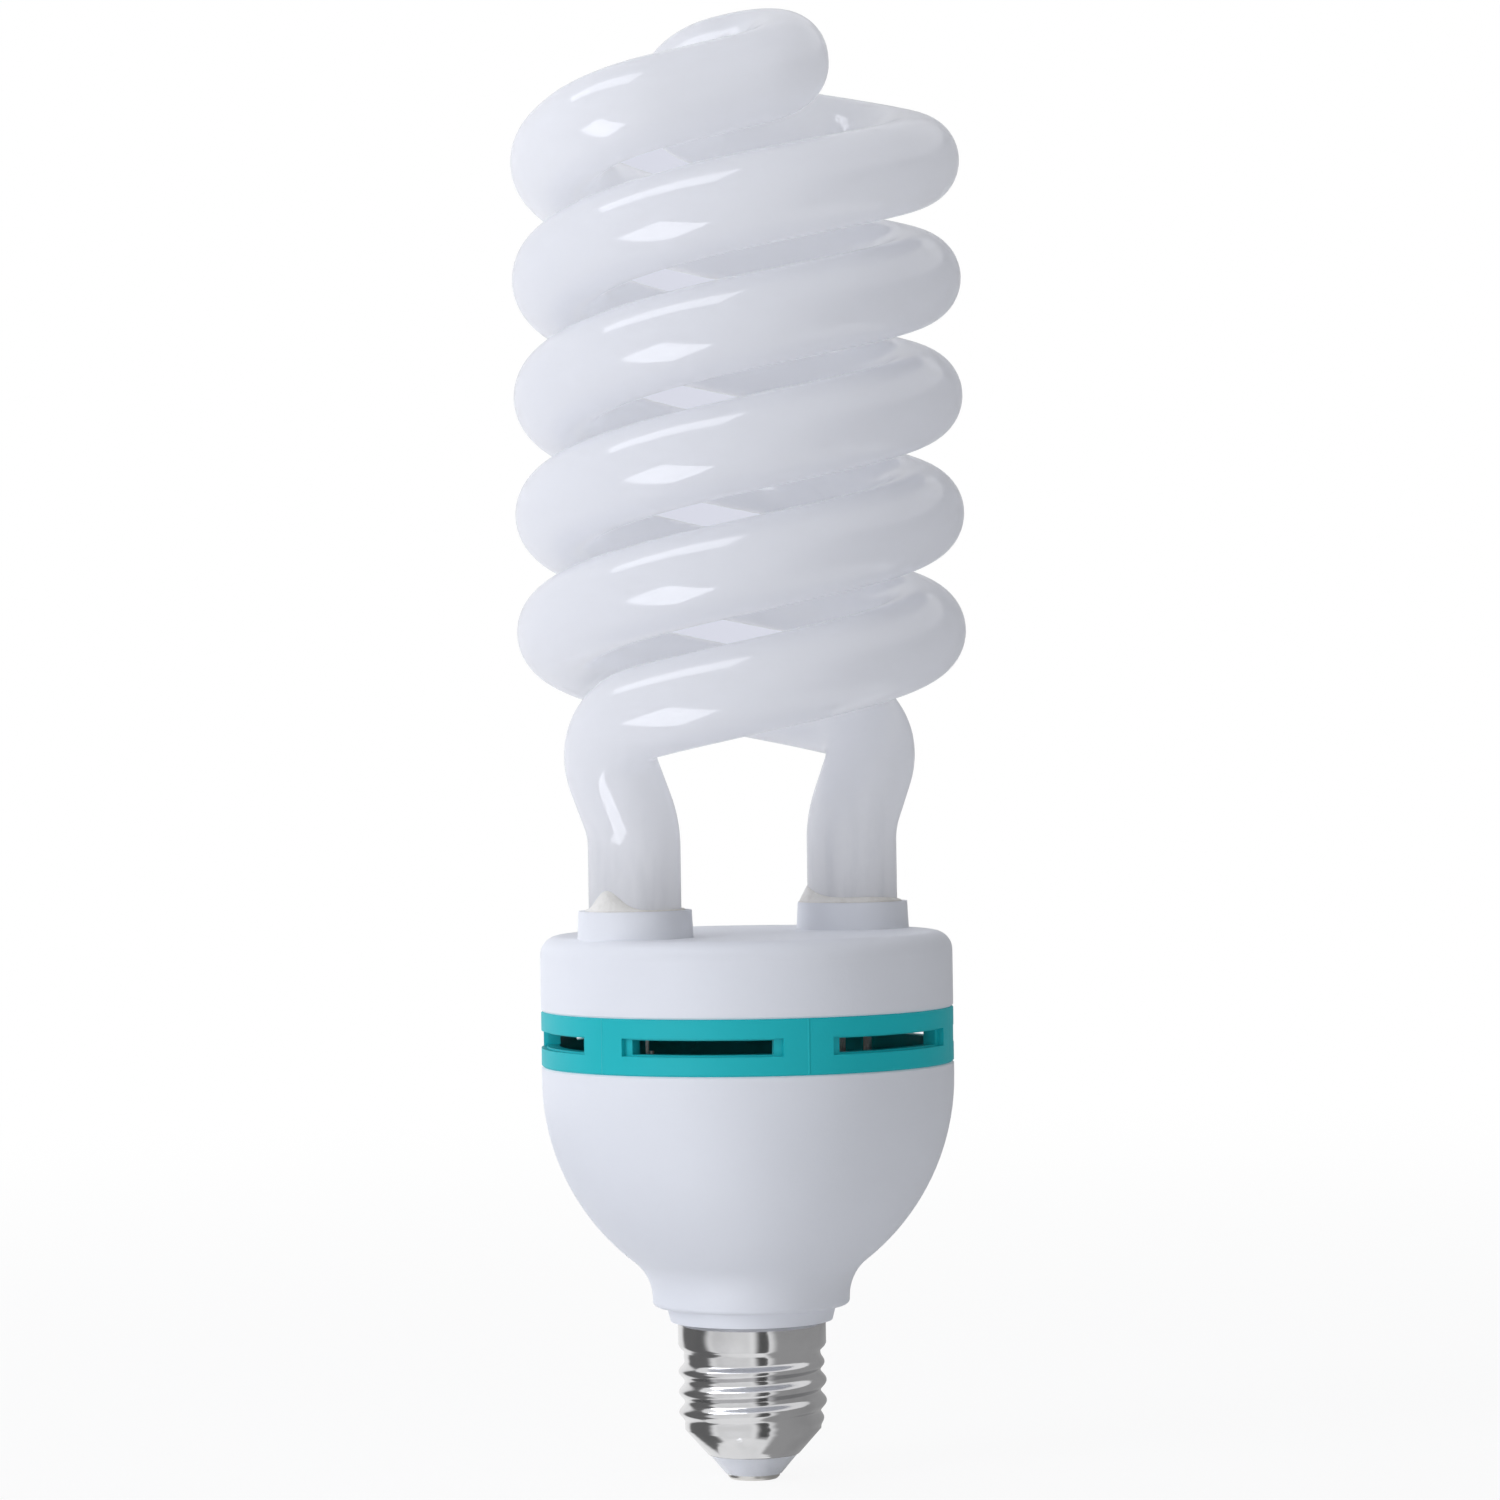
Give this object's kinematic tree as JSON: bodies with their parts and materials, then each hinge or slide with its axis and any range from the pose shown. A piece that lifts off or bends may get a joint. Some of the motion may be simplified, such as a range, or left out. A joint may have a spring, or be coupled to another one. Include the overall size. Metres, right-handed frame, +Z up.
{
  "type": "photo studio bulb",
  "caption": "Large spiral fluorescent studio bulb with a white glass double coil, a bowl-shaped ballast housing with a teal vented ring and a metal screw cap.",
  "frame": {"origin": "middle of the bottom face of the centre contact, on the axis of the bulb", "axes": "+Z runs up the axis from the screw cap to the crown of the coil, and the two legs of the glass tube stand on the X axis"},
  "size_m": [0.08, 0.0796, 0.2607],
  "materials": {
    "coated_glass": "gloss",
    "white_plastic": "satin",
    "teal_plastic": "satin",
    "plated_metal": "polished",
    "contact_metal": "satin",
    "insulator": "gloss",
    "cement": "matte",
    "board": "matte",
    "tinned_wire": "satin",
    "wire_cover": "matte",
    "ferrite": "matte",
    "dark_plastic": "matte",
    "copper": "gloss",
    "capacitor_sleeve": "gloss",
    "film_coat": "gloss"
  },
  "bodies": {
    "root": {"spiral_tube": "coated_glass", "leg_cement_right": "cement", "leg_cement_left": "cement", "top_cover": "white_plastic", "vent_ring": "teal_plastic", "ballast_housing": "white_plastic", "cap_shell": "plated_metal", "cap_insulator": "insulator", "centre_contact": "contact_metal", "circuit_board": "board", "wire_posts": "tinned_wire", "tube_leads_right": "tinned_wire", "tube_leads_left": "tinned_wire", "live_wire": "wire_cover", "neutral_wire": "wire_cover", "choke_core_inner": "ferrite", "choke_core_outer": "ferrite", "choke_bobbin": "dark_plastic", "choke_winding": "copper", "bulk_capacitor": "capacitor_sleeve", "transistor_high": "dark_plastic", "transistor_low": "dark_plastic", "resonant_capacitor": "film_coat", "coupling_capacitor": "film_coat", "drive_ring": "ferrite", "drive_windings": "copper", "filter_choke": "ferrite", "rectifier_diodes": "dark_plastic", "fuse_resistor": "film_coat", "starting_thermistor": "dark_plastic"}
  },
  "joints": []
}
